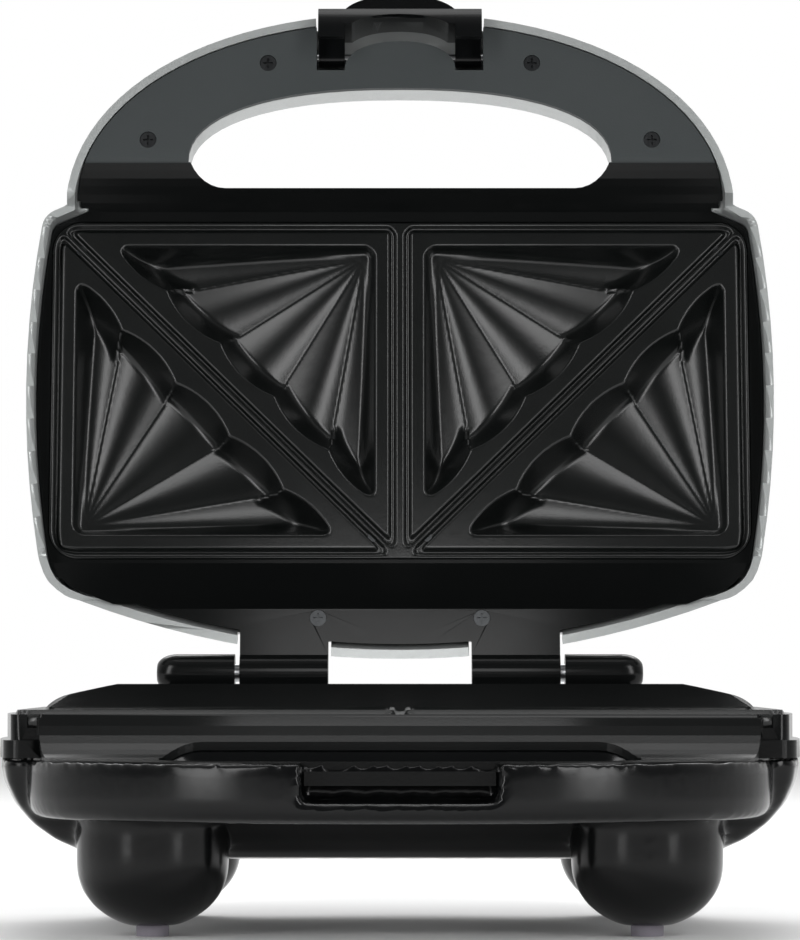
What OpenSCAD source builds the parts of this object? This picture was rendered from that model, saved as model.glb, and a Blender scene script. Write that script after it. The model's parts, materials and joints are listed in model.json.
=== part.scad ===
// Sandwich toaster with a hinged lid and two fluted cooking plates, each for two slices.
// x runs across, y from the front (negative) to the back and z up. Every lid piece is drawn
// with the lid closed and then swung back about the hinge axis to the open rest position.

/* [Body] */
// Width of the lid at its widest
lid_w = 247; // [238:1:256]
// Distance from the hinge axis to the body's front corners
body_front = 153.3; // [150:0.1:157]
// Distance from the hinge axis to the back of the lid
body_back = 2.7; // [2:0.1:4]
// Radius of the bowed sides
side_bow_r = 337; // [260:1:500]
// Distance from the hinge axis to the widest place
side_bow_mid = 93; // [84:1:102]
// Radius of the bowed back
back_bow_r = 300; // [250:1:400]
// Radius of the two rear corners
back_corner_r = 16; // [10:1:22]
// Radius of the two front corners
front_corner_r = 7; // [5:0.5:10]
// How far the base stands inside the lid's outline
base_inset = 1.4; // [1.2:0.1:2.2]
// Wall of the lid cover and of the base housing
wall = 2.6; // [2.2:0.1:3]

/* [Heights] */
// Height of the base's handle face
handle_z = 53; // [50:0.5:56]
// Rise from the handle face to the plate face
cove_rise = 13; // [11:0.5:15]
// Length of the cove between handle face and plate face, front to back
cove_length = 18; // [15:0.5:20]
// Power of the cove's curve
cove_power = 2.2; // [1.6:0.1:2.8]
// Rise from the plate face to the top of the rear ridge
ridge_rise = 8.5; // [7:0.5:9.5]
// Rise from the ridge to the hinge axis
axis_rise = 3.5; // [3.2:0.1:4.2]
// Height of the belly above the table
belly_z = 21.5; // [19:0.5:24]
// Height of the closed lid above the upper plate's face
dome_rise = 31; // [29:0.5:34]
// How far belly and dome draw in from the outline
dome_draw = 44; // [40:1:48]
// Gap between the closed lid and the base
part_gap = 0.8; // [0.6:0.1:1.2]
// Lean of the open lid past upright, in degrees
lid_lean = 8; // [4:0.5:12]
// Height of the lid rim above the base's handle face
rim_rise = 6.2; // [5.6:0.1:7]

/* [Handle] */
// Width of the handle at its root
handle_w = 222; // [214:1:226]
// Distance from the hinge axis to the handle's front
handle_front = 219; // [214:0.5:224]
// Distance from the hinge axis to the handle's widest place
handle_root = 149.5; // [146:0.5:152]
// Power of the handle's outline, 2 is an ellipse
handle_power = 2.15; // [2:0.05:2.4]
// Thickness of the base's half of the handle
handle_low = 17.2; // [16:0.2:19]
// Thickness of the lid's half of the handle
handle_high = 16.4; // [16:0.2:19]
// Rounding of the handle's outer edges
handle_round = 4; // [2:0.5:5]
// Width of the hand hole
hole_w = 140.8; // [130:0.1:144]
// Distance from the hinge axis to the back of the hand hole
hole_back = 160.3; // [158:0.1:162]
// Distance from the hinge axis to the hand hole's widest place
hole_mid = 168; // [166:0.5:172]
// Distance from the hinge axis to the front of the hand hole
hole_front = 193.4; // [189:0.1:194]
// Power of the hand hole's arch
hole_power = 2.3; // [2:0.05:2.6]
// Radius of the hand hole's rear corners
hole_corner_r = 12; // [8:0.5:14]

/* [Plates] */
// Side of one slice's square, across
slice_w = 114.2; // [110:0.1:115]
// Side of one slice's square, front to back
slice_d = 112.5; // [108:0.1:114]
// Web between the two squares
slice_gap = 2; // [1.6:0.1:3]
// Distance from the hinge axis to the rear of the squares
slice_back = 37.2; // [36.6:0.1:38]
// Thickness of a plate's flange
plate_t = 4; // [3.4:0.1:4.6]
// Wall between a pocket and the plate's underside
tray_wall = 2.6; // [2.2:0.1:3]
// Length of a pocket's straight edges
pocket_leg = 86; // [80:0.5:88]
// Distance from the square's edge to the pocket
pocket_margin = 6.9; // [6.5:0.1:8.5]
// Depth of a pocket at its right-angled corner
pocket_depth = 4; // [3:0.1:5]
// Slope of a pocket's two straight walls, mm inwards over the full depth
pocket_draft = 3.7; // [2:0.1:5]
// Height of the scallops' points from the right angle, along both edges together
scallop_sum = 86; // [83:0.5:88]
// Radius of the scallops along the pocket's long edge
scallop_r = 30; // [22:1:40]
// Rounding of the pocket's corners
pocket_round = 4.2; // [3:0.1:5]
// Number of flutes in a pocket
flutes = 5; // [5]
// Fall of a flute's floor from the corner to the long edge
flute_deep = 7.8; // [6:0.1:9]
// Fall of the crease between two flutes, from the corner to the long edge
crease_deep = 4.6; // [3:0.1:6]
// Width of the sealing groove round each triangle
seal_w = 2.1; // [1.6:0.1:2.4]
// Height of the sealing ridge on the lower plate
seal_h = 1.3; // [1:0.1:1.5]

/* [Hinge] */
// Radius of the hinge knuckles
knuckle_r = 6.3; // [5.8:0.1:6.8]
// Inner end of a lid arm
arm_in = 23.7; // [20:0.1:26]
// Length of a lid arm along the axis
arm_l = 29.2; // [26:0.1:31]
// Gap between a lid arm and the base knuckle
arm_gap = 1.6; // [1:0.1:2.2]
// Length of a base knuckle
knuckle_l = 25.8; // [23:0.1:28]
// Outer radius of the hollow hinge pins
pin_r = 3; // [2.6:0.1:3.3]
// Bore radius of the hollow hinge pins
pin_bore_r = 2; // [1.7:0.1:2.2]
// Radial running clearance of pins and screws
fit = 0.05; // [0.03:0.01:0.08]

/* [Latch] */
// Width of the latch
latch_w = 54.4; // [50:0.2:58]
// Width of each latch leg
latch_leg = 8.7; // [7.5:0.1:10]
// Side gap round the latch
latch_gap = 0.6; // [0.4:0.1:0.9]
// Distance from the hinge axis to the latch's pivot
latch_pivot = 206; // [205:0.1:206.6]
// Height of the latch's pivot above the handle face
latch_pivot_rise = 10; // [9.6:0.1:10.6]
// Reach of the latch's legs below its pivot
latch_reach = 20.7; // [20:0.1:21.2]
// How far the thumb tab stands out in front of the handle
thumb_out = 4.6; // [3:0.1:6]

/* [Feet and screws] */
// Radius of a foot bulb
bulb_r = 22.8; // [20:0.2:24]
// Distance from a bulb's centre to the middle of the body
bulb_x = 73.7; // [68:0.1:78]
// Distance from the hinge axis to the front bulbs
bulb_front = 138; // [130:0.5:142]
// Distance from the hinge axis to the rear bulbs
bulb_back = 40; // [36:0.5:48]
// Radius of a rubber foot
pad_r = 4.9; // [4:0.1:7]
// How far a rubber foot stands out of its bulb
pad_out = 2.2; // [1.6:0.1:3]
// Radius of a case screw's head
head_r = 2.7; // [2.4:0.1:3]
// Radius of a case screw's thread
thread_r = 1.6; // [1.4:0.1:1.8]

/* [Heating] */
// Radius of the heating element's tube
heater_r = 3.2; // [2.8:0.1:3.6]
// Width of the heating element's loop
heater_w = 172; // [160:1:180]
// Depth of the heating element's loop, front to back
heater_d = 76; // [66:1:84]
// Thickness of the heat shields
shield_t = 0.8; // [0.6:0.1:1]
// Width of a heat shield
shield_w = 190; // [180:1:194]
// Depth of a heat shield, front to back
shield_d = 84; // [80:1:88]

/* [Hidden] */
$fn = 48;

plate_z = handle_z + cove_rise;
upper_z = plate_z + part_gap;
ridge_z = plate_z + ridge_rise;
axis_z = ridge_z + axis_rise;
lid_top_z = upper_z + dome_rise;
rim_z = handle_z + rim_rise;
base_rim_z = handle_z;
cove_back = body_front + 0.7;
plateau_back = slice_back - 2.2;
ridge_front = plateau_back - 14;
span = lid_w + 60;
shelf_w = 196;
mid_z = (plate_z + upper_z) / 2;

// The lid leans back past upright; this puts the open toaster's box centre at y = 0.
open_back = (body_front - dome_draw * 0.8) * sin(lid_lean) + (lid_top_z - axis_z) * cos(lid_lean);
hinge_y = (handle_front - base_inset - open_back) / 2;
bow_fn = 192;

// ---- Outlines from above, with the hinge axis at y = 0 ----

module raw_outline(front) {
    intersection() {
        for_both_sides();
        translate([0, -body_back - back_bow_r]) circle(r = back_bow_r, $fn = bow_fn);
        translate([-span / 2, -front]) square([span, front]);
    }
}

module for_both_sides() {
    intersection_for(s = [-1, 1])
        translate([s * (lid_w / 2 - side_bow_r), -side_bow_mid]) circle(r = side_bow_r, $fn = bow_fn);
}

// Outline of the lid's rim, grown by a distance
module body_2d(grow = 0) {
    offset(delta = grow) intersection() {
        offset(r = back_corner_r) offset(delta = -back_corner_r) raw_outline(body_front + 60);
        offset(r = front_corner_r) offset(delta = -front_corner_r) raw_outline(body_front);
    }
}

// The lid's rim together with the shelf behind the hand hole
module dome_2d(grow = 0) {
    offset(delta = grow) hull() {
        body_2d();
        translate([-shelf_w / 2, -hole_back]) square([shelf_w, 20]);
    }
}

// Points of an arch that bulges towards the front
function arch(half_w, depth, power, steps) = [
    for (i = [0 : steps]) let (t = 180 * i / steps)
        [half_w * sign(cos(t)) * pow(abs(cos(t)), 2 / power), -depth * pow(sin(t), 2 / power)]
];

module handle_2d(grow = 0) {
    offset(delta = grow) {
        translate([0, -handle_root])
            polygon(arch(handle_w / 2, handle_front - handle_root, handle_power, 48));
        translate([-handle_w / 2, -handle_root]) square([handle_w, 12]);
    }
}

module hole_2d(grow = 0) {
    offset(delta = grow) {
        translate([0, -hole_mid]) polygon(arch(hole_w / 2, hole_front - hole_mid, hole_power, 32));
        intersection() {
            offset(r = hole_corner_r, $fn = 32) offset(delta = -hole_corner_r)
                translate([-hole_w / 2, -hole_mid - 30]) square([hole_w, hole_mid + 30 - hole_back]);
            translate([-hole_w / 2, -hole_mid]) square([hole_w, hole_mid - hole_back]);
        }
    }
}

// Body and handle together, less the hand hole
module face_2d(grow, hole_grow) {
    difference() {
        offset(delta = grow) {
            body_2d();
            handle_2d();
            translate([-shelf_w / 2, -hole_back]) square([shelf_w, 20]);
        }
        hole_2d(hole_grow);
    }
}

module prism(low, high) {
    translate([0, 0, low]) linear_extrude(height = high - low) children();
}

// ---- The stepped face where lid and base meet, seen from the side as [y, z] ----

cove_steps = 8;
function parting(dz) = concat(
    [[-handle_front - 20, handle_z + dz]],
    [for (i = [0 : cove_steps]) let (t = i / cove_steps)
        [-cove_back - cove_length * (1 - t), handle_z + cove_rise * pow(t, cove_power) + dz]],
    [[-plateau_back, plate_z + dz], [-ridge_front, ridge_z + dz], [20, ridge_z + dz]]);

module side_prism(points, width = span) {
    rotate([90, 0, 90]) translate([0, 0, -width / 2]) linear_extrude(height = width) polygon(points);
}

module below_parting(dz) {
    side_prism(concat(parting(dz), [[20, 0], [-handle_front - 20, 0]]));
}

module above_parting(dz) {
    side_prism(concat(parting(dz), [[20, lid_top_z + 20], [-handle_front - 20, lid_top_z + 20]]));
}

// ---- Placing ----

module closed() {
    translate([0, hinge_y, 0]) children();
}

module opened() {
    translate([0, hinge_y, axis_z]) rotate([-90 - lid_lean, 0, 0]) translate([0, 0, -axis_z]) children();
}

// Turns a piece of the base upside down into its place in the lid
module as_lid() {
    translate([0, 0, 2 * mid_z]) mirror([0, 0, 1]) children();
}

module both_sides() {
    children();
    mirror([1, 0, 0]) children();
}

module along_x(x, y, z) {
    translate([x, y, z]) rotate([0, 90, 0]) children();
}

module at_each(places) {
    for (p = places, s = [-1, 1]) translate([s * p[0], -p[1], 0]) children();
}

// ---- Bowls: the belly of the base and the dome of the lid ----

bowl_steps = 7;
bowl_lip = 0.04;
function bowl_inset(draw, step) = draw * (1 - cos(90 * step / bowl_steps));
module base_bowl(shrink, top) {
    low = belly_z + shrink;
    prism(base_rim_z, top) body_2d(-base_inset - shrink);
    for (i = [0 : bowl_steps - 1]) hull() for (j = [i, i + 1])
        translate([0, 0, base_rim_z - (base_rim_z - low) * sin(90 * j / bowl_steps)])
            linear_extrude(height = 0.02)
                body_2d(-base_inset - shrink - bowl_lip - bowl_inset(dome_draw, j));
}

module dome(shrink) {
    high = lid_top_z - shrink;
    prism(rim_z - 20, lid_bow_z) dome_2d(-shrink);
    for (i = [0 : bowl_steps - 1]) hull() for (j = [i, i + 1])
        translate([0, 0, lid_bow_z - 0.02 + (high - lid_bow_z) * sin(90 * j / bowl_steps)])
            linear_extrude(height = 0.02) dome_2d(-shrink - bowl_lip - bowl_inset(dome_draw, j));
}

// ---- Fixings, as [x, distance from the hinge axis] ----

handle_screw_at = [[44, 202], [83.8, 175.6]];
rear_screw_at = [[27.1, 18]];
boss_r = head_r + 1.8;
plate_screw_at = [[106.5, 141], [9, 44]];
head_h = 1.8;
head_sunk = 0.4;

// Screw with its head at the bottom, head face at z = 0
module case_screw(length) {
    difference() {
        union() {
            cylinder(r = head_r, h = head_h);
            cylinder(r = thread_r, h = length);
        }
        for (a = [0, 90]) rotate(a) translate([-head_r * 0.6, -0.35, -1]) cube([head_r * 1.2, 0.7, 1.8]);
    }
}

// ---- Plates ----

plate_corner_r = 10;
plate_edge = 0.7;
plate_half_w = slice_gap / 2 + slice_w + plate_edge;
module plate_2d(grow = 0) {
    offset(delta = grow) offset(r = plate_corner_r) offset(delta = -plate_corner_r)
        translate([-plate_half_w, -slice_back - slice_d - plate_edge])
            square([2 * plate_half_w, slice_d + 2 * plate_edge]);
}

// Long edge of a pocket: scallop points on a straight line with an arc between each pair
flute_step = 0.21;
function flute_mid(i) = 0.5 + (i - (flutes - 1) / 2) * flute_step;

module pocket_2d(grow = 0) {
    chord = scallop_sum * flute_step * sqrt(2);
    drop = sqrt(scallop_r * scallop_r - chord * chord / 4) / sqrt(2);
    offset(delta = grow) offset(r = pocket_round, $fn = 24) offset(delta = -pocket_round) intersection() {
        square(pocket_leg);
        union() {
            polygon([[0, 0], [scallop_sum, 0], [0, scallop_sum]]);
            for (i = [0 : flutes - 1]) scallop(flute_mid(i), drop);
        }
    }
}

module scallop(share, drop) {
    reach = 2 * scallop_sum;
    half = flute_step / 2;
    intersection() {
        translate([scallop_sum * share - drop, scallop_sum * (1 - share) - drop])
            circle(r = scallop_r, $fn = 64);
        polygon([[0, 0], [reach * (share + half), reach * (1 - share - half)],
            [reach * (share - half), reach * (1 - share + half)]]);
    }
}

// Fan of flutes: straight lines from one point near the right angle to a waved line
fan_from = 4;
fan_over = 1.25;
fan_steps = 6;
fan_count = flutes * fan_steps;
function fan_point(k) = let (share = flute_mid(0) - flute_step / 2 + k * flute_step / fan_steps,
        wave = 2 * (k % fan_steps) / fan_steps - 1,
        fall = crease_deep + (flute_deep - crease_deep) * (1 - wave * wave))
    [fan_from + (scallop_sum * share - fan_from) * fan_over,
        fan_from + (scallop_sum * (1 - share) - fan_from) * fan_over, -pocket_depth + 0.3 - fall * fan_over];
function fan_end(k) = let (p = fan_point(k)) [p[0], p[1], 3];

module flute_fan() {
    polyhedron(
        points = concat([[fan_from, fan_from, -pocket_depth + 0.3]], [for (k = [0 : fan_count]) fan_point(k)],
            [fan_end(fan_count), fan_end(0)]),
        faces = concat([for (k = [1 : fan_count + 2]) [0, k + 1, k]], [[0, 1, fan_count + 3]],
            [[for (k = [1 : fan_count + 3]) k]]));
}

// Hollow of one pocket below z = 0, right angle at the origin
pocket_low = 20;
module pocket_hollow() {
    full = pocket_depth + flute_deep;
    intersection() {
        prism(-pocket_low, 6) pocket_2d();
        side_slope(full);
        rotate([0, 0, -90]) mirror([1, 0, 0]) side_slope(full);
        union() {
            prism(-pocket_depth, 7) square(pocket_leg + 10);
            flute_fan();
        }
    }
}

// Space on the inner side of one sloping straight wall
module side_slope(full) {
    slope = pocket_draft / full;
    rotate([90, 0, 0]) mirror([0, 0, 1]) translate([0, 0, -20]) linear_extrude(height = 160)
        polygon([[-6 * slope, 6.5], [pocket_low * slope + 1, -pocket_low - 1], [140, -pocket_low - 1],
            [140, 6.5]]);
}

tray_depth = pocket_depth + flute_deep + tray_wall;

// The four pockets of a plate: two to a square, right angles at opposite corners
module at_pockets() {
    both_sides() {
        translate([-slice_gap / 2 - pocket_margin, -slice_back - slice_d + pocket_margin, 0])
            rotate([0, 0, 90]) children();
        translate([-slice_gap / 2 - slice_w + pocket_margin, -slice_back - pocket_margin, 0])
            rotate([0, 0, -90]) children();
    }
}

// The four triangles inside the sealing line
seal_half_web = 0.4;
module seal_2d(grow) {
    leg_w = slice_w - 2 * seal_half_web;
    leg_d = slice_d - 2 * seal_half_web;
    offset(delta = grow) intersection() {
        both_sides() {
            translate([-slice_gap / 2, -slice_back - slice_d]) seal_triangle([-leg_w, 0], [0, leg_d]);
            translate([-slice_gap / 2 - slice_w, -slice_back]) seal_triangle([leg_w, 0], [0, -leg_d]);
        }
        plate_2d(-plate_edge);
    }
}

module seal_triangle(a, b) {
    offset(r = 3, $fn = 24) offset(delta = -3) polygon([[0, 0], a, b]);
}

// Plate body: flange, pocket trays and hollows, its face at plate_z
module plate_body() {
    difference() {
        union() {
            prism(plate_z - plate_t, plate_z) plate_2d();
            prism(plate_z - tray_depth, plate_z - 1) at_pockets() pocket_2d(tray_wall);
        }
        translate([0, 0, plate_z]) at_pockets() pocket_hollow();
        at_each(plate_screw_at) translate([0, 0, plate_z - plate_t - 1])
            cylinder(r = thread_r + fit, h = plate_t);
    }
}

module lower_plate() color([0.09, 0.1, 0.1]) closed() {
    plate_body();
    prism(plate_z - 0.5, plate_z + seal_h) difference() {
        seal_2d(-0.4);
        seal_2d(0.4 - seal_w);
    }
}

module upper_plate() color([0.09, 0.1, 0.1]) opened() difference() {
    as_lid() plate_body();
    prism(upper_z - 1, upper_z + seal_h + 0.4) difference() {
        seal_2d(0);
        seal_2d(-seal_w);
    }
}

// ---- Base housing ----

bulb_top = belly_z - 0.5;
leg_top = handle_z - handle_low + 1.2;
module bulbs(shrink) {
    for (x = [-bulb_x, bulb_x], y = [-bulb_front, -bulb_back]) translate([x, y, 0])
        rotate_extrude($fn = 28) bulb_profile(bulb_r - shrink, pad_out + shrink, leg_top - shrink);
}

module bulb_profile(r, low, top) {
    steps = 7;
    polygon(concat([[0, top], [0, low]],
        [for (i = [1 : steps]) let (a = 90 * i / steps) [r * sin(a), bulb_top - (bulb_top - low) * cos(a)]],
        [[r, top]]));
}

module base_handle(shrink, top) {
    low = handle_z - handle_low + shrink;
    hull() for (e = [[0, 1], [0.3, 0.3], [1, 0]])
        prism(low + handle_round * e[0], top) handle_2d(-base_inset - shrink - handle_round * e[1]);
}

notch_back = latch_pivot - 1;
notch_floor = handle_z + latch_pivot_rise - latch_reach - 0.6;
notch_w = latch_w + 2 * latch_gap;
catch_low = notch_floor + 4.7;
catch_h = 4;
catch_d = 4.8;
catch_w = notch_w - 1.2;

module notch_box(grow) {
    translate([-notch_w / 2 - grow, -handle_front - 10, 0])
        cube([notch_w + 2 * grow, handle_front + 10 - notch_back + catch_d + 0.6 + grow, handle_z + 1]);
}

module latch_notch() {
    translate([-notch_w / 2, -handle_front - 10, notch_floor])
        cube([notch_w, handle_front + 10 - notch_back, 40]);
    translate([-notch_w / 2, -notch_back - 1, notch_floor])
        cube([notch_w, 6.6, catch_low - notch_floor]);
    translate([-catch_w / 2, -notch_back - 1, catch_low - 0.1])
        cube([catch_w, catch_d + 0.8, 20]);
}

gland_r = 5;
gland_z = 44;
wall_bow_z = base_rim_z - gland_z;
wall_y = -body_back - base_inset
    - dome_draw * (1 - sqrt(1 - pow(wall_bow_z / (base_rim_z - belly_z), 2)));

module base_housing() color([0.08, 0.09, 0.09]) closed() difference() {
    $fn = 28;
    union() {
        base_bowl(0, base_rim_z + 0.01);
        base_handle(0, base_rim_z);
        bulbs(0);
        intersection() {
            prism(base_rim_z - 12, plate_z) difference() {
                hole_2d(wall);
                hole_2d(0);
            }
            below_parting(-frame_t - 0.2);
            prism(0, plate_z) body_2d(hole_back - body_front + wall);
        }
    }
    difference() {
        union() {
            base_bowl(wall, base_rim_z + 1);
            difference() {
                base_handle(wall, base_rim_z + 1);
                notch_box(wall);
            }
            bulbs(wall);
        }
        prism(0, plate_z) hole_2d(wall);
        base_bosses();
    }
    prism(-1, plate_z) hole_2d();
    latch_notch();
    intersection() {
        prism(handle_z - frame_t - 0.05, plate_z) difference() {
            face_2d(0.25 - frame_inset, -1);
            translate([-notch_w / 2 - 0.3, -handle_front - 10])
                square([notch_w + 0.6, handle_front + 10 - notch_back + catch_d + 0.3]);
        }
        above_parting(-frame_t - 0.05);
    }
    base_screw_holes();
    for (x = [-bulb_x, bulb_x], y = [-bulb_front, -bulb_back])
        translate([x, y, -1]) cylinder(r = pad_r + 0.05, h = 1 + pad_h);
    translate([0, 0, gland_z]) rotate([90, 0, 0]) cylinder(r = gland_r + 0.1, h = 20);
    vents();
}

vent_l = 26;
module vents() {
    for (i = [-3 : 3]) translate([i * 9 - 1.5, -108, belly_z - 2]) cube([3, vent_l, wall + 4]);
}

pad_h = pad_out + 2;
module rubber_feet() color([0.6, 0.58, 0.6]) closed()
    for (x = [-bulb_x, bulb_x], y = [-bulb_front, -bulb_back]) translate([x, y, 0])
        cylinder(r = pad_r, h = pad_h);

// Posts inside the housing that the case screws run up
module base_bosses() {
    prism(0, handle_z - frame_t) {
        at_each(handle_screw_at) circle(r = boss_r);
        at_each(rear_screw_at) circle(r = boss_r);
    }
}

handle_seat_z = handle_z - handle_low + 3;
rear_seat_z = 40;
screw_top_z = handle_z - 0.8;
module base_screw_holes() {
    at_each(handle_screw_at) {
        cylinder(r = head_r + 0.2, h = handle_seat_z);
        cylinder(r = thread_r + 0.1, h = handle_z);
    }
    at_each(rear_screw_at) {
        cylinder(r = head_r + 0.2, h = rear_seat_z);
        cylinder(r = thread_r + 0.1, h = handle_z);
    }
}

// ---- Base frame ----

frame_t = 2.5;
frame_inset = base_inset + wall + 0.3;
upper_inset = wall + 1;
ledge_t = 2.6;
ledge_w = 3.2;
screw_pad_r = 7.2;

module base_frame() color([0.07, 0.08, 0.08]) closed() difference() {
    union() {
        // Skin that follows the stepped face
        difference() {
            intersection() {
                prism(handle_z - frame_t, ridge_z + 1) face_2d(-frame_inset, 0);
                below_parting(0);
            }
            below_parting(-frame_t);
        }
        // Wall under the skin's edge round the body
        intersection() {
            prism(base_rim_z + 0.1, ridge_z + 1) difference() {
                body_2d(-upper_inset);
                body_2d(-upper_inset - frame_t);
            }
            below_parting(0);
        }
        // Flange that covers the housing's rim
        prism(base_rim_z + 0.1, rim_z - 0.8) difference() {
            body_2d(-base_inset);
            body_2d(-upper_inset - 1);
            translate([-handle_w / 2 + 5, -handle_front]) square([handle_w - 10, handle_front - 147]);
        }
        intersection() {
            seat(plate_z - plate_t - ledge_t, plate_z - plate_t, plate_z - 1);
            prism(0, plate_z) face_2d(-upper_inset, 0);
        }
        base_knuckles();
        at_each(rear_screw_at) translate([0, 0, handle_z - frame_t]) cylinder(r = boss_r, h = 23);
        at_each(handle_screw_at) translate([0, 0, handle_z - frame_t]) cylinder(r = boss_r, h = frame_t);
    }
    prism(plate_z - plate_t, plate_z + 20) plate_2d(0.3);
    at_each(plate_screw_at) translate([0, 0, plate_z - plate_t - ledge_t - 1])
        cylinder(r = thread_r + fit, h = ledge_t + 2);
    prism(0, plate_z + 1) hole_2d(0);
    notch_box(0.5);
    frame_shoulders();
    arm_room();
    base_pin_bore();
    at_each(concat(handle_screw_at, rear_screw_at)) cylinder(r = thread_r + fit, h = screw_top_z + 0.3);
}

// Relief at the two ends of the cove, clear of the lid cover's handle
module frame_shoulders() both_sides()
    translate([handle_w / 2 - frame_inset - 1.4, -cove_back - 8, plate_z - 1.4]) cube([10, 9.6, 3]);

// Ledge that carries a plate, with a low wall round it and pads for the plate's screws
module seat(low, high, wall_top) {
    prism(low, high) {
        difference() {
            plate_2d(2);
            plate_2d(-ledge_w);
        }
        intersection() {
            at_each(plate_screw_at) circle(r = screw_pad_r);
            plate_2d(1);
        }
    }
    prism(min(low, wall_top), max(high, wall_top)) difference() {
        plate_2d(2);
        plate_2d(0.3);
    }
}

arm_out = arm_in + arm_l;
knuckle_in = arm_out + arm_gap;

// Room cut in the ridge for the swinging arms
module arm_room() {
    both_sides() along_x(arm_in - 0.8, 0, axis_z)
        cylinder(r = knuckle_r + 0.8, h = arm_l + 0.8 + arm_gap);
}

// Rounded knuckle: a barrel with a domed outer end on a foot that runs into the ridge
module base_knuckles() both_sides() {
    dome_l = 7;
    along_x(knuckle_in, 0, axis_z) rotate_extrude() polygon(concat([[0, 0], [knuckle_r, 0]],
        [for (i = [0 : 8]) let (a = 90 * i / 8)
            [knuckle_r * (0.35 + 0.65 * cos(a)), knuckle_l - dome_l + dome_l * sin(a)]],
        [[0, knuckle_l]]));
    translate([knuckle_in, -ridge_front, axis_z - knuckle_r - 5])
        cube([knuckle_l - 4, ridge_front, knuckle_r + 1]);
    translate([knuckle_in, -3.4, axis_z - knuckle_r - 5]) cube([knuckle_l - 4, 6.8, knuckle_r + 5]);
}

module base_pin_bore() both_sides() along_x(knuckle_in - 1, 0, axis_z)
    cylinder(r = pin_r + fit, h = knuckle_l - 4);

pin_from = arm_in + 4;
pin_to = knuckle_in + knuckle_l - 5.2;
module hinge_pins() color([0.75, 0.76, 0.78]) closed() both_sides()
    along_x(pin_from, 0, axis_z) difference() {
        cylinder(r = pin_r, h = pin_to - pin_from);
        translate([0, 0, -1]) cylinder(r = pin_bore_r, h = pin_to - pin_from + 2);
    }

module base_screws() color([0.12, 0.12, 0.13]) closed() {
    at_each(handle_screw_at) translate([0, 0, handle_seat_z - head_h])
        case_screw(screw_top_z - handle_seat_z + head_h);
    at_each(rear_screw_at) translate([0, 0, rear_seat_z - head_h])
        case_screw(screw_top_z - rear_seat_z + head_h);
}

module latch_catch() color([0.3, 0.3, 0.32]) closed()
    translate([-catch_w / 2, -notch_back - 0.2, catch_low]) cube([catch_w, catch_d, catch_h]);

// ---- Heating: drawn for the lower plate and turned over for the lid ----

heater_z = plate_z - tray_depth - heater_r;
heater_mid = slice_back + slice_d / 2;
heater_back = -heater_mid + heater_d / 2;
bend_r = 12;
tail = 18;

module tube_x(x0, x1, y) along_x(x0, y, 0) cylinder(r = heater_r, h = x1 - x0);

module tube_bend(x, y, start) translate([x, y, 0]) rotate([0, 0, start])
    rotate_extrude(angle = 90) translate([bend_r, 0]) circle(r = heater_r, $fn = 24);

// Loop of tube, open in the middle of its rear side
module heater() translate([0, 0, heater_z]) {
    x = heater_w / 2 - bend_r;
    y0 = -heater_mid - heater_d / 2;
    tube_x(-x, x, y0);
    both_sides() {
        tube_bend(x, y0 + bend_r, 270);
        tube_bend(x, heater_back - bend_r, 0);
        translate([x + bend_r, heater_back - bend_r, 0]) rotate([90, 0, 0])
            cylinder(r = heater_r, h = heater_d - 2 * bend_r);
        tube_x(tail, x, heater_back);
        along_x(tail - 7, heater_back, 0) cylinder(r = 1.4, h = 8);
        translate([tail - 9, heater_back - 3.2, -0.4]) cube([4, 6.4, 0.8]);
    }
}

clamp_t = 1.2;
clamp_half = heater_r + 5;
clamp_x = 46;
// Saddle that holds a straight run of the element up against the plate
module clamp_shape() {
    difference() {
        union() {
            along_x(-5, 0, 0) cylinder(r = heater_r + 0.05 + clamp_t, h = 10);
            translate([-5, -clamp_half, heater_r - clamp_t]) cube([10, 2 * clamp_half, clamp_t]);
        }
        along_x(-6, 0, 0) cylinder(r = heater_r + 0.05, h = 12);
        translate([-6, -20, heater_r]) cube([12, 40, 20]);
        translate([-6, -heater_r - 0.05, 0]) cube([12, 2 * heater_r + 0.1, 20]);
    }
}

module clamps() for (x = [-clamp_x, clamp_x], y = [-1, 1])
    translate([x, -heater_mid + y * heater_d / 2, heater_z]) clamp_shape();

shield_gap = 2.2;
shield_z = heater_z - heater_r - shield_gap;
module pan_2d(grow) offset(r = 10, $fn = 32) offset(delta = grow - 10)
    translate([-shield_w / 2, -heater_mid - shield_d / 2]) square([shield_w, shield_d]);

// Sheet pan behind the element, on folded legs that stand on the casing
module shield(low) {
    prism(shield_z, shield_z + shield_t) pan_2d(0);
    prism(shield_z, shield_z + 2) difference() {
        pan_2d(0);
        pan_2d(-shield_t);
    }
    for (x = [-42, 42], y = [-10, 20])
        translate([x - 4, -heater_mid + y - shield_t / 2, low]) cube([8, shield_t, shield_z - low + 0.1]);
}

module plate_screws() at_each(plate_screw_at) translate([0, 0, plate_z - plate_t - ledge_t - head_h])
    case_screw(head_h + ledge_t + plate_t - 1.4);

module lower_heating_element() color([0.35, 0.33, 0.3]) closed() heater();
module lower_element_clamps() color([0.7, 0.7, 0.72]) closed() clamps();
module lower_heat_shield() color([0.78, 0.79, 0.8]) closed() shield(belly_z + wall);
module lower_plate_screws() color([0.6, 0.6, 0.62]) closed() plate_screws();
module upper_heating_element() color([0.35, 0.33, 0.3]) opened() as_lid() heater();
module upper_element_clamps() color([0.7, 0.7, 0.72]) opened() as_lid() clamps();
module upper_heat_shield() color([0.78, 0.79, 0.8]) opened() as_lid() shield(2 * mid_z - lid_top_z + wall);
module upper_plate_screws() color([0.6, 0.6, 0.62]) opened() as_lid() plate_screws();

// ---- Electrical pieces in the base ----

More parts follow.
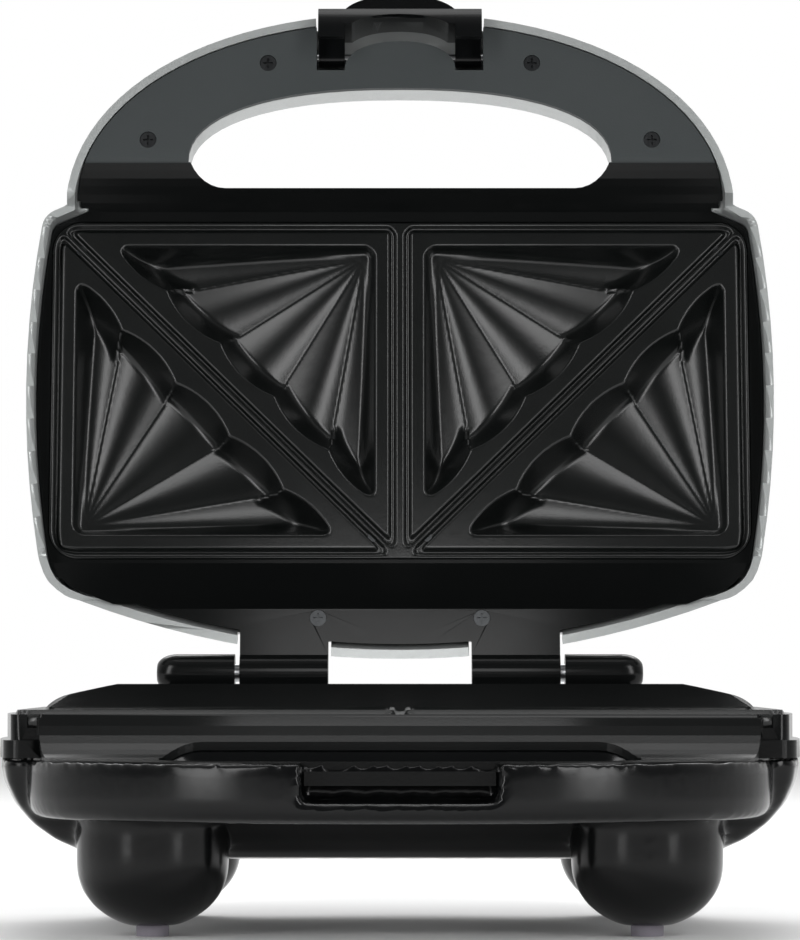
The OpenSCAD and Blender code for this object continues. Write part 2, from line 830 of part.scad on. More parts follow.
under_plate_z = plate_z - plate_t;
module thermostat() color([0.85, 0.8, 0.7]) closed() translate([0, -heater_mid, under_plate_z]) {
    translate([0, 0, -1.2]) cylinder(r = 2.6, h = 1.2);
    translate([0, 0, -9]) cylinder(r = 3.4, h = 7.8);
    for (s = [-1, 1]) translate([-0.4, s * 2 - 1, -13]) cube([0.8, 2, 4.2]);
}

fuse_y = -heater_mid - 24;
fuse_r = 1.8;
module thermal_fuse() color([0.8, 0.78, 0.7]) closed()
    translate([0, fuse_y, under_plate_z - fuse_r]) rotate([90, 0, 0]) {
        cylinder(r = fuse_r, h = 10);
        translate([0, 0, -6]) cylinder(r = 0.5, h = 22);
    }

block_w = 20;
block_d = 12;
block_h = 10;
block_at = [4, -64];
floor_z = belly_z + wall;
module terminal_block() color([0.9, 0.9, 0.86]) closed()
    translate([block_at[0], block_at[1], floor_z]) difference() {
        cube([block_w, block_d, block_h]);
        for (x = [5, 15]) translate([x, block_d / 2, block_h - 5]) cylinder(r = 1.8, h = 6);
    }

lead_r = 1.1;
// Run of insulated wire made of legs along the axes: each step is [axis, length]
function sum_to(steps, n) = n == 0 ? [0, 0, 0] : sum_to(steps, n - 1) + step_vector(steps[n - 1]);
function step_vector(s) = s[0] == 0 ? [s[1], 0, 0] : s[0] == 1 ? [0, s[1], 0] : [0, 0, s[1]];
module lead(start, steps) translate(start) for (i = [0 : len(steps) - 1]) {
    s = steps[i];
    translate(sum_to(steps, i) + (s[1] < 0 ? step_vector(s) : [0, 0, 0]))
        rotate(s[0] == 0 ? [0, 90, 0] : s[0] == 1 ? [-90, 0, 0] : [0, 0, 0])
            cylinder(r = lead_r, h = abs(s[1]), $fn = 20);
    if (i > 0) translate(sum_to(steps, i)) sphere(r = lead_r * 1.25, $fn = 20);
}

block_top = floor_z + block_h;
tail_x = tail - 7;
module base_leads() color([0.85, 0.85, 0.8]) closed() {
    x0 = block_at[0] + 5;
    y0 = block_at[1] + block_d / 2;
    rise = heater_z - 0.5 - block_top;
    lead([x0, y0, block_top], [[2, 4], [1, heater_back + 6.2 - y0], [0, tail_x - x0], [2, rise - 4]]);
    lead([x0 + 10, y0, block_top],
        [[2, 7], [1, heater_back + 10.2 - y0], [0, -tail_x - x0 - 10], [2, rise - 7]]);
}

module cord_gland() color([0.1, 0.1, 0.1]) closed() translate([0, wall_y, gland_z]) rotate([90, 0, 0])
    difference() {
        union() {
            translate([0, 0, -2]) cylinder(r = gland_r, h = wall + 6);
            translate([0, 0, -6]) cylinder(r1 = gland_r, r2 = gland_r + 1.6, h = 4.6);
        }
        translate([0, 0, -8]) cylinder(r = 3.3, h = 40);
    }

clamp_at = 48;
module cord_clamp() color([0.15, 0.15, 0.15]) closed() difference() {
    translate([-7, -clamp_at, floor_z + 0.8]) cube([14, 6, 13.5]);
    translate([0, 10 - clamp_at, floor_z + 9]) rotate([90, 0, 0]) cylinder(r = 3.3, h = 16);
}

// ---- Lid cover ----

lid_bow_z = upper_z + 1.5;
lid_handle_top = handle_z + handle_high;
module lid_handle(shrink) {
    high = lid_handle_top - shrink;
    hull() for (e = [[0, 1], [0.3, 0.3], [1, 0]])
        prism(handle_z - 10, high - handle_round * e[0]) handle_2d(-shrink - handle_round * e[1]);
}

// Space below the cover's lower edge, seen from the side
module below_rim() side_prism([[-handle_front - 20, handle_z + 0.3], [-body_front - 4, handle_z + 0.3],
    [-body_front - 0.8, rim_z], [-plateau_back - 1, rim_z], [-ridge_front - 3, ridge_z + 1.5],
    [20, ridge_z + 1.5], [20, 0], [-handle_front - 20, 0]]);

lens_r = 3.2;
lens_x = 7;
lens_at = 106;

module lid_cover() color([0.74, 0.76, 0.76]) opened() difference() {
    $fn = 32;
    union() {
        dome(0);
        lid_handle(0);
    }
    difference() {
        union() {
            dome(wall);
            lid_handle(wall);
        }
        prism(0, lid_top_z) hole_2d(wall);
        cover_bosses();
    }
    prism(0, lid_top_z + 1) hole_2d();
    below_rim();
    intersection() {
        prism(0, lid_top_z) hole_2d(wall + 0.5);
        below_parting(part_gap + frame_t + 0.2);
    }
    lid_latch_room(0.3);
    both_sides() translate([arm_in - 0.9, -13.6, ridge_z - 10])
        cube([arm_l + 1.8, 30.8, 10.8 + knuckle_r + axis_rise]);
    for (x = [-lens_x, lens_x]) translate([x, -lens_at, lid_top_z - 10]) cylinder(r = lens_r + 0.1, h = 12);
    lid_screw_bores();
}

boss_low = handle_z + part_gap + head_sunk + head_h + 2;
rear_boss_low = ridge_z + part_gap + head_sunk + head_h + 2;
module cover_bosses() {
    prism(boss_low, lid_top_z - 1) at_each(handle_screw_at) circle(r = boss_r);
    prism(rear_boss_low, lid_top_z - 1) at_each(rear_screw_at) circle(r = boss_r);
}

lid_screw_l = 11;
rear_lid_screw_l = 8;
module lid_screw_bores() {
    at_each(handle_screw_at) translate([0, 0, handle_z]) cylinder(r = thread_r + fit, h = lid_screw_l + 2);
    at_each(rear_screw_at) translate([0, 0, ridge_z]) cylinder(r = thread_r + fit, h = rear_lid_screw_l + 2);
}

// ---- Lid housing ----

housing_inset = wall + 0.4;
// Bands of height under the dome and under the handle, each as [top, inset]
dome_bands = [[lid_bow_z + 1.1, 0], [lid_bow_z + 6.1, 1.2], [ridge_z + 4, 3.6]];
handle_bands = [[lid_handle_top - wall - handle_round, 0], [lid_handle_top - wall - 1.4, 1.1],
    [lid_handle_top - wall - 0.4, 3.6]];

// Room under the cover's two forms, stepped inwards as they close in
module cover_room() difference() {
    union() {
        for (i = [0 : 2]) prism(i == 0 ? handle_z : dome_bands[i - 1][0] - 0.01, dome_bands[i][0])
            dome_2d(-housing_inset - dome_bands[i][1]);
        for (i = [0 : 2]) prism(i == 0 ? handle_z : handle_bands[i - 1][0] - 0.01, handle_bands[i][0])
            handle_2d(-housing_inset - handle_bands[i][1]);
    }
    prism(0, lid_top_z) hole_2d();
}

// Slot in the handle where the latch swings
room_leg_back = latch_pivot - 6.5;
module lid_latch_room(grow) {
    top = latch_z + latch_ear_r + 0.35;
    translate([-notch_w / 2 - grow, -handle_front - 10, 0])
        cube([notch_w + 2 * grow, handle_front + 10 - room_leg_back + grow, top]);
}

module boss_arch_2d() {
    translate([0, -room_leg_back]) polygon(arch(latch_w / 2 - latch_leg, 10, 2.2, 24));
    translate([-latch_w / 2 + latch_leg, -room_leg_back]) square([latch_w - 2 * latch_leg, 1]);
}

module lid_housing() color([0.2, 0.21, 0.21]) opened() difference() {
    union() {
        // Skin that follows the stepped face
        difference() {
            intersection() {
                cover_room();
                above_parting(part_gap);
            }
            above_parting(part_gap + frame_t);
        }
        intersection() {
            seat(upper_z + plate_t, upper_z + plate_t + ledge_t, upper_z + 1);
            prism(0, lid_top_z) face_2d(-housing_inset - 0.9, 0);
        }
        arms();
        pivot_cheeks();
        at_each(handle_screw_at) translate([0, 0, handle_z + part_gap])
            cylinder(r = boss_r, h = boss_low - 0.1 - handle_z - part_gap);
        at_each(rear_screw_at) translate([0, 0, ridge_z + part_gap])
            cylinder(r = boss_r, h = rear_boss_low - 0.1 - ridge_z - part_gap);
    }
    prism(upper_z - 5, upper_z + plate_t) plate_2d(0.3);
    at_each(plate_screw_at) translate([0, 0, upper_z + plate_t - 1])
        cylinder(r = thread_r + fit, h = ledge_t + 2);
    difference() {
        lid_latch_room(0);
        prism(handle_z, latch_z + 8) boss_arch_2d();
    }
    lid_pin_bore();
    latch_pin_bore();
    at_each(handle_screw_at) {
        translate([0, 0, handle_z + part_gap - 1]) cylinder(r = head_r + 0.1, h = 1 + head_sunk + head_h);
        translate([0, 0, handle_z]) cylinder(r = thread_r + fit, h = 9);
    }
    at_each(rear_screw_at) {
        translate([0, 0, ridge_z + part_gap - 1]) cylinder(r = head_r + 0.1, h = 1 + head_sunk + head_h);
        translate([0, 0, ridge_z]) cylinder(r = thread_r + fit, h = 9);
    }
}

module arms() both_sides() {
    along_x(arm_in, 0, axis_z) cylinder(r = knuckle_r, h = arm_l);
    translate([arm_in, -12, ridge_z + part_gap]) cube([arm_l, 12, axis_rise - part_gap + knuckle_r]);
    translate([arm_in, -22, ridge_z + part_gap]) cube([arm_l, 12, frame_t]);
}

module lid_pin_bore() both_sides() along_x(pin_from - 0.3, 0, axis_z)
    cylinder(r = pin_r + fit, h = arm_l);

// ---- Latch ----

latch_z = handle_z + latch_pivot_rise;
latch_ear_r = 3.2;
latch_pin_r = 1.5;
cheek_t = 3;
bar_front = handle_front - 0.4;

module pivot_cheeks() both_sides()
    translate([latch_w / 2 + latch_gap, -latch_pivot - 3, handle_z + part_gap])
        cube([cheek_t, 6, latch_pivot_rise - part_gap + 2.8]);

module latch_pin_bore() both_sides() along_x(latch_w / 2, -latch_pivot, latch_z)
    cylinder(r = latch_pin_r + fit, h = cheek_t + 4);

module latch_pin() color([0.75, 0.76, 0.78]) opened()
    along_x(-latch_w / 2 - latch_gap - cheek_t, -latch_pivot, latch_z)
        cylinder(r = latch_pin_r, h = latch_w + 2 * (latch_gap + cheek_t));

// Side view of a leg: an ear round the pin, a bar in front and a nose that swings under the catch
nose_back = latch_pivot + 2;
bar_t = 6;
module leg_2d() {
    translate([-latch_pivot, latch_z]) circle(r = latch_ear_r);
    bar_2d();
    intersection() {
        translate([-latch_pivot, latch_z]) circle(r = latch_reach, $fn = 96);
        translate([-bar_front, latch_z - latch_reach]) square([bar_front - nose_back, 3.6]);
    }
    translate([-bar_front, latch_z - latch_ear_r]) square([bar_front - latch_pivot, 2 * latch_ear_r]);
}

module bar_2d() intersection() {
    translate([-latch_pivot, latch_z]) circle(r = latch_reach, $fn = 96);
    translate([-bar_front, latch_z - latch_reach]) square([bar_t, latch_reach + latch_ear_r]);
}

module latch() color([0.08, 0.09, 0.09]) opened() {
    side_w = latch_w / 2;
    difference() {
        both_sides() translate([side_w - latch_leg, 0, 0]) rotate([90, 0, 90])
            linear_extrude(height = latch_leg) leg_2d();
        along_x(-side_w - 1, -latch_pivot, latch_z) cylinder(r = latch_pin_r + fit, h = latch_w + 2);
    }
    // Bridge between the legs, hollowed by an arch
    intersection() {
        translate([-side_w + latch_leg - 0.5, 0, 0]) rotate([90, 0, 90])
            linear_extrude(height = latch_w - 2 * latch_leg + 1) bar_2d();
        prism(0, latch_z + latch_ear_r) difference() {
            translate([-side_w, -handle_front - 10]) square([latch_w, handle_front + 10 - nose_back]);
            translate([0, -nose_back]) polygon(arch(side_w - latch_leg, 8.4, 2.2, 24));
        }
    }
    // Thumb tab
    prism(handle_z - 6, handle_z - 1) translate([0, -bar_front + 3])
        polygon(arch(19.7, thumb_out + 3 + 0.4, 2, 24));
}

// ---- Lamps and leads in the lid ----

module power_lens() color([0.8, 0.1, 0.08]) opened() lens(-lens_x);
module ready_lens() color([0.1, 0.6, 0.2]) opened() lens(lens_x);

module lens(x) translate([x, -lens_at, lid_top_z - 5]) {
    cylinder(r = lens_r, h = 5.4);
    cylinder(r = lens_r + 1, h = 5 - wall);
}

holder_z = lid_top_z - 6.6;
module lamp_holder() color([0.9, 0.9, 0.86]) opened() difference() {
    translate([-lens_x - 5, -lens_at - 4, holder_z]) cube([2 * lens_x + 10, 8, 1.6]);
    for (x = [-lens_x, lens_x]) translate([x, -lens_at, holder_z - 1]) cylinder(r = 1.5, h = 4);
}

module lid_leads() color([0.85, 0.85, 0.8]) opened() both_sides()
    lead([lens_x, -lens_at + 4, holder_z + 0.4], [[1, lens_at - 42], [2, -12.3], [0, 31], [1, 22]]);

module lid_screws() color([0.12, 0.12, 0.13]) opened() {
    at_each(handle_screw_at) translate([0, 0, handle_z + part_gap + head_sunk]) case_screw(lid_screw_l);
    at_each(rear_screw_at) translate([0, 0, ridge_z + part_gap + head_sunk]) case_screw(rear_lid_screw_l);
}

base_housing();
base_frame();
hinge_pins();
lower_plate();
lower_heating_element();
lower_element_clamps();
lower_heat_shield();
lower_plate_screws();
thermostat();
thermal_fuse();
terminal_block();
base_leads();
cord_gland();
cord_clamp();
rubber_feet();
base_screws();
latch_catch();
lid_cover();
lid_housing();
upper_plate();
upper_heating_element();
upper_element_clamps();
upper_heat_shield();
upper_plate_screws();
power_lens();
ready_lens();
lamp_holder();
lid_leads();
lid_screws();
latch();
latch_pin();
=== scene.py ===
# %% [markdown]
# # Sandwich toaster
# This script dresses a finished CAD model. The CAD model gives every size, place and joint,
# and Blender adds what a maker's drawing leaves out: smooth skins, cast detail and finishes.
# The model is loaded first and stays fixed, so each new piece is placed by its numbers.

# %% Load the fixed frame
import json
import math

import bmesh
import bpy
import numpy as np
from mathutils import Matrix, Vector


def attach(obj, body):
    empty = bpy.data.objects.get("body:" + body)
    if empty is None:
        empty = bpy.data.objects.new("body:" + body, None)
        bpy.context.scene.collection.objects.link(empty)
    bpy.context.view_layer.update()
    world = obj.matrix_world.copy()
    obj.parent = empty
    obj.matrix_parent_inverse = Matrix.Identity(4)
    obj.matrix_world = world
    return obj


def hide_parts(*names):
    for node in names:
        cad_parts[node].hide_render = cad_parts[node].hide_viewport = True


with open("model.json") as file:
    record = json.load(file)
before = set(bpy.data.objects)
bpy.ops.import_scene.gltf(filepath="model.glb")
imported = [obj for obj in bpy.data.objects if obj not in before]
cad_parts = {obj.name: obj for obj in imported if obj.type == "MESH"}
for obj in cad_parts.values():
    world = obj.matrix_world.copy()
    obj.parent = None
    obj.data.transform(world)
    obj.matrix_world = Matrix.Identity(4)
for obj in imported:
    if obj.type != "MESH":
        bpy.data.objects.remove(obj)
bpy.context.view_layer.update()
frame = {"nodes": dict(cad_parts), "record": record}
nodes = frame["nodes"]

# %% [markdown]
# ## Camera
# The photograph is a straight front view from a little above the table, so its lens is long and
# its tilt small. A long lens keeps the near handle and the far lid at almost the same scale.
# The distance was settled from how much larger the handle's front is than the plates behind it.

# %% Place the camera
HINGE_Y = 0.090778
HINGE_Z = 0.078
LID_LEAN = math.radians(8)
CAMERA_DISTANCE = 1.430
CAMERA_HEIGHT = 0.080
FOCAL_PIXELS = 4320
FRAME_HEIGHT_PIXELS = 940
HORIZON_BELOW_MIDDLE_PIXELS = 197
SENSOR_MM = 36
LOOK_UP = math.atan(HORIZON_BELOW_MIDDLE_PIXELS / FOCAL_PIXELS)

camera_data = bpy.data.cameras.new("camera")
camera_data.sensor_width = SENSOR_MM
camera_data.lens = SENSOR_MM * FOCAL_PIXELS / FRAME_HEIGHT_PIXELS
camera = bpy.data.objects.new("camera", camera_data)
camera.location = (0, HINGE_Y - CAMERA_DISTANCE, CAMERA_HEIGHT)
camera.rotation_euler = (math.pi / 2 + LOOK_UP, 0, 0)
bpy.context.scene.collection.objects.link(camera)
bpy.context.scene.camera = camera
bpy.context.scene.view_settings.view_transform = "Standard"
print("lens", round(camera_data.lens, 1), "mm")

# %% [markdown]
# ## Shader values as Python expressions
# A finish is a graph of small nodes. Writing every Math node by hand hides the idea, so one class
# wraps a socket and lets plus and times build the nodes. One method makes all other nodes.

# %% Define the shader helpers
class Value:
    """A number that varies over the surface, written as an expression."""

    def __init__(self, finish, socket):
        self.finish, self.socket = finish, socket

    def maths(self, operation, other):
        return self.finish.add("Math", {"operation": operation}, [self, other])

    def __add__(self, other):
        return self.maths("ADD", other)

    def __mul__(self, other):
        return self.maths("MULTIPLY", other)

    def above(self, low, high):
        """0 below low, 1 above high and smooth between."""
        smooth = {"interpolation_type": "SMOOTHSTEP"}
        return self.finish.add("MapRange", smooth, [self, low, high, 0.0, 1.0])

    __radd__ = __add__
    __rmul__ = __mul__


# A Mix node has a pair of inputs for each kind of data, so its colours go by number
MIX_FIRST, MIX_SECOND, MIX_RESULT = 6, 7, 2


class Finish:
    """One material, made from nodes."""

    def __init__(self, name, **constants):
        self.material = bpy.data.materials.new(name)
        self.material.use_nodes = True
        self.tree = self.material.node_tree
        self.shader = self.tree.nodes["Principled BSDF"]
        self.place = self.add("TexCoord", {}, [], "Object")
        for socket, constant in constants.items():
            self.shader.inputs[socket.replace("_", " ")].default_value = constant

    def add(self, kind, settings, inputs, out=0):
        """Any node: its type, its settings and the values or links of its sockets."""
        node = self.tree.nodes.new("ShaderNode" + kind)
        for key, setting in settings.items():
            setattr(node, key, setting)
        pairs = inputs.items() if isinstance(inputs, dict) else enumerate(inputs)
        for key, given in pairs:
            if isinstance(given, Value):
                self.tree.links.new(given.socket, node.inputs[key])
            else:
                node.inputs[key].default_value = given
        return Value(self, node.outputs[out])

    def noise(self, size, detail, stretch=(1, 1, 1)):
        """Soft cloud whose spots measure about `size` metres."""
        where = self.add("Mapping", {}, {"Vector": self.place, "Scale": stretch})
        return self.add("TexNoise", {}, {"Vector": where, "Scale": 1 / size, "Detail": detail})

    def cells(self, size):
        """Distance to the nearest grain of about `size` metres."""
        return self.add("TexVoronoi", {}, {"Vector": self.place, "Scale": 1 / size})

    def blend(self, share, first, second):
        """Mixes two colours by a share."""
        mixed = self.add("Mix", {"data_type": "RGBA"}, {"Factor": share}, "Result")
        mix = mixed.socket.node
        for key, given in ((MIX_FIRST, first), (MIX_SECOND, second)):
            if isinstance(given, Value):
                self.tree.links.new(given.socket, mix.inputs[key])
            else:
                mix.inputs[key].default_value = (*given, 1)
        return Value(self, mix.outputs[MIX_RESULT])

    def split(self, place):
        """The three parts of a place."""
        parts = self.add("SeparateXYZ", {}, [place]).socket.node
        return [Value(self, parts.outputs[k]) for k in range(3)]

    def give(self, **looks):
        """Links varying values to the shader's sockets; `height` becomes a bump in metres."""
        height = looks.pop("height", None)
        for socket, given in looks.items():
            self.tree.links.new(given.socket, self.shader.inputs[socket.replace("_", " ")])
        if height is not None:
            bump = self.add("Bump", {}, {"Strength": 1.0, "Distance": 1.0, "Height": height})
            self.tree.links.new(bump.socket, self.shader.inputs["Normal"])
        return self.material


print("shader helpers ready")

# %% [markdown]
# ## Finishes
# A toaster is mostly moulded plastic, a painted lid and coated castings. Each finish has its own
# grain at its real scale: spark-eroded texture on the handle's matte face, slight waviness under
# gloss, metal flakes in the paint, and the fine pebble of a baked non-stick coating.

# %% Moulded plastics
def moulded(name, dark, light, roughness, grain, depth, mottle, **constants):
    """Plastic with a moulded grain, uneven shine and a slow drift of colour."""
    f = Finish(name, **constants)
    drift = f.noise(0.035, 3)
    fine = f.noise(grain, 3)
    broad, narrow = f.noise(0.012, 2), f.noise(0.0016, 2)
    shine = broad * mottle + narrow * (mottle * 0.5) + (roughness - mottle * 0.75)
    return f.give(Base_Color=f.blend(drift, dark, light), Roughness=shine, height=fine * depth)


# Each colour drifts between a darker and a lighter tone
SATIN_BLACK = (0.003, 0.0034, 0.0034), (0.0042, 0.0046, 0.0046)
CHARCOAL_GREY = (0.034, 0.039, 0.04), (0.041, 0.046, 0.047)
finishes = {
    "black_gloss": moulded("black_gloss", (0.0028, 0.0031, 0.0033), (0.0038, 0.0042, 0.0044), 0.17, 0.004,
                           0.000012, 0.05, Specular_IOR_Level=0.24),
    "black_satin": moulded("black_satin", *SATIN_BLACK, 0.2, 0.0009, 0.00001, 0.05,
                           Specular_IOR_Level=0.22),
    "charcoal": moulded("charcoal", *CHARCOAL_GREY, 0.55, 0.0006, 0.00003, 0.06,
                        Specular_IOR_Level=0.16),
    "rubber_black": moulded("rubber_black", (0.012, 0.012, 0.012), (0.018, 0.018, 0.018), 0.7, 0.0008,
                            0.00004, 0.1, Specular_IOR_Level=0.25),
    # Painted light: the slight lilac tint of this grey rubber is the colour of lilac light falling on it,
    # not the rubber's own colour.
    "rubber_grey": moulded("rubber_grey", (0.24, 0.22, 0.26), (0.3, 0.28, 0.32), 0.6, 0.0008,
                           0.00004, 0.1, Specular_IOR_Level=0.3),
    "ceramic_white": moulded("ceramic_white", (0.7, 0.67, 0.6), (0.8, 0.77, 0.7), 0.5, 0.0012,
                             0.00003, 0.1),
    "lens_red": moulded("lens_red", (0.45, 0.012, 0.01), (0.6, 0.02, 0.015), 0.12, 0.002,
                        0.000006, 0.04, Coat_Weight=0.6),
    "lens_green": moulded("lens_green", (0.02, 0.28, 0.06), (0.03, 0.38, 0.09), 0.12, 0.002,
                          0.000006, 0.04, Coat_Weight=0.6),
}
print("plastics", sorted(finishes))

# %% Handle face of the lid housing
def handle_textured_with_painted_shade(name, face_z, blur):
    """One grey plastic, spark-eroded above face_z on the handle and polished below it, where its colour
    is painted near black as painted shade.
    """
    f = Finish(name, Specular_IOR_Level=0.18)
    _, _, height = f.split(f.place)
    texture_and_painted_light = height.above(face_z - blur, face_z + blur)
    drift = f.noise(0.035, 3)
    # Painted shade: the near black below the handle face stands for how light falls there, and the
    # plastic is the same charcoal grey throughout.
    black = f.blend(drift, *SATIN_BLACK)
    grey = f.blend(drift, *CHARCOAL_GREY)
    shine = f.noise(0.012, 2) * 0.05 + texture_and_painted_light * 0.33 + 0.18
    return f.give(Base_Color=f.blend(texture_and_painted_light, black, grey), Roughness=shine,
                  height=f.noise(0.0006, 3) * (texture_and_painted_light * 0.00003 + 0.000004))


# The handle face ends at this height. Below it the lid housing is painted darker as painted shade.
HANDLE_FACE_Z, TEXTURE_AND_SHADE_EDGE = 0.2475, 0.0006
finishes["charcoal_lid"] = handle_textured_with_painted_shade("charcoal_lid", HANDLE_FACE_Z, TEXTURE_AND_SHADE_EDGE)
print("handle face above", HANDLE_FACE_Z)

# %% Silver paint
def silver_paint():
    """Silver lacquer: bright flakes that tilt a little under a smooth coat."""
    f = Finish("silver_paint", Coat_Weight=0.35, Coat_Roughness=0.16, Metallic=0.55)
    flake = f.cells(0.00035)
    cloud = f.noise(0.05, 3)
    colour = f.blend(cloud * 0.6 + flake * 0.35, (0.33, 0.345, 0.342), (0.43, 0.447, 0.443))
    return f.give(Base_Color=colour, Roughness=f.noise(0.0012, 2) * 0.12 + 0.32,
                  height=flake * 0.000035 + f.noise(0.006, 2) * 0.00001)


finishes["silver_paint"] = silver_paint()
print("silver paint ready")

# %% Non-stick coating
def coated_plate():
    """Baked non-stick coating on a die-cast plate: black satin with a fine pebble."""
    f = Finish("coated_plate", Specular_IOR_Level=0.45)
    pebble = f.noise(0.0007, 3)
    cloud = f.noise(0.018, 4)
    colour = f.blend(cloud, (0.0024, 0.003, 0.0029), (0.0036, 0.0043, 0.0041))
    return f.give(Base_Color=colour, Roughness=cloud * 0.05 + pebble * 0.04 + 0.21,
                  height=pebble * 0.00002 + f.noise(0.0035, 2) * 0.00003)


finishes["coated_plate"] = coated_plate()
print("plate coating ready")

# %% Bare metals
def bare_metal(name, dark, light, roughness, lines, depth):
    """Drawn or rolled metal: fine lines across, a faint stain and a brushed shine."""
    f = Finish(name, Metallic=1.0)
    brushed = f.noise(0.0012, 3, stretch=lines)
    stain = f.noise(0.01, 3)
    return f.give(Base_Color=f.blend(stain, dark, light), Roughness=brushed * 0.16 + (roughness - 0.08),
                  height=brushed * depth)


ALONG_X, ALONG_Z = (0.06, 1, 1), (1, 1, 0.1)
METALS = {
    "steel": ((0.5, 0.51, 0.52), (0.62, 0.63, 0.64), 0.3, ALONG_X, 0.00002),
    "black_steel": ((0.03, 0.032, 0.034), (0.07, 0.072, 0.074), 0.36, ALONG_Z, 0.00003),
    "heater_tube": ((0.16, 0.13, 0.11), (0.3, 0.27, 0.24), 0.42, ALONG_X, 0.00003),
    "shield_sheet": ((0.66, 0.67, 0.68), (0.76, 0.77, 0.78), 0.28, ALONG_X, 0.00002),
}
for metal, look in METALS.items():
    finishes[metal] = bare_metal(metal, *look)
print("metals", sorted(METALS))

# %% Woven sleeve, and a finish for every CAD node

THREADS_PER_METRE = 900.0


def woven_sleeve():
    """Glass-fibre sleeve on the hot leads: crossing threads."""
    f = Finish("lead_sleeve")
    turned = [f.add("Mapping", {}, {"Vector": f.place, "Rotation": (0, 0, side * math.pi / 4)})
              for side in (1, -1)]
    threads = [f.add("TexWave", {}, {"Vector": way, "Scale": THREADS_PER_METRE}) for way in turned]
    weave = threads[0] * threads[1]
    return f.give(Base_Color=f.blend(weave, (0.5, 0.48, 0.42), (0.8, 0.78, 0.72)),
                  Roughness=weave * 0.2 + 0.6, height=weave * 0.0001)


finishes["lead_sleeve"] = woven_sleeve()
# The plate screws' tips reach up into the grooves, where bright steel would show as dots
BLACKENED = {"upper_plate_screws": "black_steel", "lower_plate_screws": "black_steel"}
for part in frame["record"]["subparts"]:
    mesh = nodes[part["node"]].data
    mesh.materials.clear()
    mesh.materials.append(finishes[BLACKENED.get(part["node"], part["material_slot"])])
print("finishes", len(finishes))

# %% [markdown]
# ## Finished pieces
# Every new piece goes through one function, so none is left without a body to ride on, a finish or
# smooth shading. Its place stays in its mesh and its object at the origin, as the frame's are.

# %% Turn a bmesh into a piece
def lid_place():
    """The turn that swings a closed lid back to where it stands open."""
    hinge = Vector((0, HINGE_Y, HINGE_Z))
    swing = Matrix.Rotation(-math.pi / 2 - LID_LEAN, 4, "X")
    return Matrix.Translation(hinge) @ swing @ Matrix.Translation(-hinge)


FACE_SIZE_WEIGHT = 60


def piece(name, bm, body, slot, stands_for, sharp, place=Matrix(), finish=None):
    """Makes the object, gives it its finish and hides the CAD node that it stands for.

    Edges that turn more than `sharp` degrees stay sharp, and with 0 all are smooth."""
    bm.transform(place)
    mesh = bpy.data.meshes.new(name)
    bm.to_mesh(mesh)
    bm.free()
    mesh.materials.append(finishes[finish or slot])
    made = bpy.data.objects.new(name, mesh)
    bpy.context.scene.collection.objects.link(made)
    mesh.shade_smooth()
    if sharp:
        mesh.set_sharp_from_angle(angle=math.radians(sharp))
        even = made.modifiers.new("even", "WEIGHTED_NORMAL")
        even.keep_sharp = True
        even.weight = FACE_SIZE_WEIGHT
    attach(made, body)
    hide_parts(stands_for)
    print(name, "triangles", sum(len(p.vertices) - 2 for p in mesh.polygons))
    return made


# %% [markdown]
# ## Moulded shells
# The CAD shells are loose flat triangles, and under gloss each facet would flash by itself. A copy
# is welded, and its normals run smoothly over every edge that turns less than a chosen angle.
# That isn't enough for the base's belly, whose long thin facets still flash. It is rebuilt in even
# small faces and smoothed, so it shines as one surface, and its edges come out softer for that.

# %% Weld a copy of a node
WELD = 0.000002


def welded(node):
    """A copy of a CAD node whose loose triangles are joined."""
    bm = bmesh.new()
    bm.from_mesh(nodes[node].data)
    bmesh.ops.remove_doubles(bm, verts=bm.verts[:], dist=WELD)
    return bm


print("points closer than", WELD, "m are joined")

# %% Rebuild the base housing in even faces
# Smoothing fills the lower corners of the latch's notch. They are pushed out again only in front
# of NOTCH_BACK.
NOTCH_HALF, NOTCH_FLOOR, NOTCH_BACK, NOTCH_SWELL = 0.0278, 0.0417, -0.1152, 0.002
MOST_TRIANGLES = 190000
GRID_TURN = Matrix.Rotation(math.radians(33), 4, "X") @ Matrix.Rotation(math.radians(27), 4, "Y")


def open_notch(bm):
    """Pushes smoothed points that stand in the notch's front corners back to its walls."""
    for vert in bm.verts:
        aside, above = NOTCH_HALF - abs(vert.co.x), vert.co.z - NOTCH_FLOOR
        if vert.co.y < NOTCH_BACK and 0 < aside < NOTCH_SWELL and 0 < above < NOTCH_SWELL:
            if aside < above:
                vert.co.x = math.copysign(NOTCH_HALF, vert.co.x)
            else:
                vert.co.z = NOTCH_FLOOR


def remoulded_shell(name, node, body, slot, voxel, rounds):
    """A copy of a CAD node rebuilt in even small faces, with its edges softened.

    The grid of voxels is turned by odd angles, so that long edges beat less against it."""
    bm = welded(node)
    bm.transform(GRID_TURN)
    rough = bpy.data.meshes.new("rough")
    bm.to_mesh(rough)
    bm.free()
    holder = bpy.data.objects.new("rough", rough)
    bpy.context.scene.collection.objects.link(holder)
    remesh = holder.modifiers.new("even", "REMESH")
    remesh.mode = "VOXEL"
    remesh.voxel_size = voxel
    rebuilt = holder.evaluated_get(bpy.context.evaluated_depsgraph_get())
    even = bpy.data.meshes.new_from_object(rebuilt)
    bpy.data.objects.remove(holder)
    bm = bmesh.new()
    bm.from_mesh(even)
    bpy.data.meshes.remove(even)
    for _ in range(rounds):
        bmesh.ops.smooth_vert(bm, verts=bm.verts[:], factor=0.5, use_axis_x=True, use_axis_y=True,
                              use_axis_z=True)
    bm.transform(GRID_TURN.inverted())
    open_notch(bm)
    triangles = sum(len(f.verts) - 2 for f in bm.faces)
    shell = piece(name, bm, body, slot, node, 0)
    if triangles > MOST_TRIANGLES:
        thin = shell.modifiers.new("thin", "DECIMATE")
        thin.ratio = MOST_TRIANGLES / triangles
    return shell


VOXEL, SMOOTHING_ROUNDS = 0.00118, 9
remoulded_shell("housing_base", "base_housing", "base", "black_gloss", VOXEL, SMOOTHING_ROUNDS)

